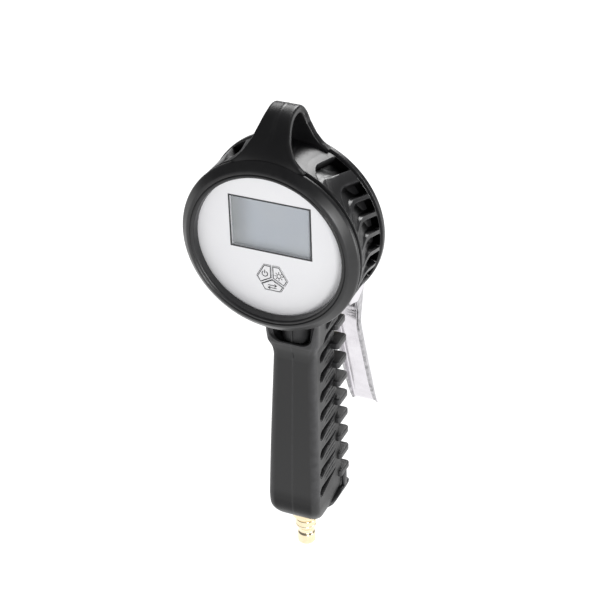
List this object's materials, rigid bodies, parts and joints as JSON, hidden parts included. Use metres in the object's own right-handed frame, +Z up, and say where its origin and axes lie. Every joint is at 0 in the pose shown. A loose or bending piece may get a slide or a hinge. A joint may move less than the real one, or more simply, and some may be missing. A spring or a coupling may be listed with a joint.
{
  "type": "tyre inflator with gauge",
  "caption": "Hand-held tyre inflator: digital pressure gauge in a ribbed rubber boot with a hanging hook, pistol valve body, channel lever and finned grip.",
  "frame": {"origin": "middle of the inlet plug's nose, on the plug's axis", "axes": "+Z up the grip to the hanging hook, the gauge's face looks along -Y, +X to the right of a person who looks at the face"},
  "size_m": [0.0992, 0.1296, 0.288],
  "materials": {
    "boot_rubber": "satin black rubber",
    "grip_rubber": "matt black rubber",
    "seal_rubber": "matt",
    "case_plastic": "fine grained black",
    "face_white": "satin white membrane",
    "window_glass": "clear",
    "display_grey": "grey-blue display",
    "board_green": "lacquered board",
    "cell_wrap": "gloss",
    "body_black": "semi-gloss black on a casting",
    "brass": "turned",
    "lever_chrome": "bright chrome",
    "steel": "plated",
    "aluminium": "turned",
    "fibre_red": "vulcanised fibre"
  },
  "bodies": {
    "body": {"boot": "boot_rubber", "gauge_case": "case_plastic", "face_plate": "face_white", "lcd_window": "window_glass", "lcd_frame": "case_plastic", "lcd_panel": "display_grey", "key_switches": "steel", "circuit_board": "board_green", "battery_cells": "cell_wrap", "battery_cover": "case_plastic", "cover_screws": "steel", "pressure_sensor": "brass", "sensor_seal": "seal_rubber", "valve_body": "body_black", "barrel_collar": "aluminium", "hose_outlet": "brass", "outlet_seal": "fibre_red", "inlet_plug": "brass", "plug_seal": "fibre_red", "inlet_screen": "steel", "valve_gland": "brass", "gland_seal": "seal_rubber", "stem_spring": "steel", "grip_sleeve": "grip_rubber"},
    "lever": {"trigger_lever": "lever_chrome", "lever_pin": "steel", "pin_clip": "steel"},
    "stem": {"valve_stem": "brass", "poppet_seal": "seal_rubber"},
    "power_key": {"key_power": "face_white"},
    "light_key": {"key_light": "face_white"},
    "unit_key": {"key_unit": "face_white"}
  },
  "joints": [
    {"name": "lever_squeeze", "type": "hinge", "parent": "body", "child": "lever", "pos_m": [0, 0.0665, 0.142], "axis": [-1, 0, 0], "range_deg": [0, 16], "stiffness_Nm_per_rad": 0.33, "springref_deg": -17.19},
    {"name": "stem_lift", "type": "slide", "parent": "body", "child": "stem", "axis": [0, 0, 1], "range_m": [0, 0.003], "deforming": ["stem_spring"]},
    {"name": "power_press", "type": "slide", "parent": "body", "child": "power_key", "axis": [0, 1, 0], "range_m": [0, 0.0004], "stiffness_N_per_m": 600, "springref_m": -0.0005},
    {"name": "light_press", "type": "slide", "parent": "body", "child": "light_key", "axis": [0, 1, 0], "range_m": [0, 0.0004], "stiffness_N_per_m": 600, "springref_m": -0.0005},
    {"name": "unit_press", "type": "slide", "parent": "body", "child": "unit_key", "axis": [0, 1, 0], "range_m": [0, 0.0004], "stiffness_N_per_m": 600, "springref_m": -0.0005}
  ],
  "couplings": [
    {"joint": "stem_lift", "follows": "lever_squeeze", "m_per_rad": 0.0105}
  ]
}
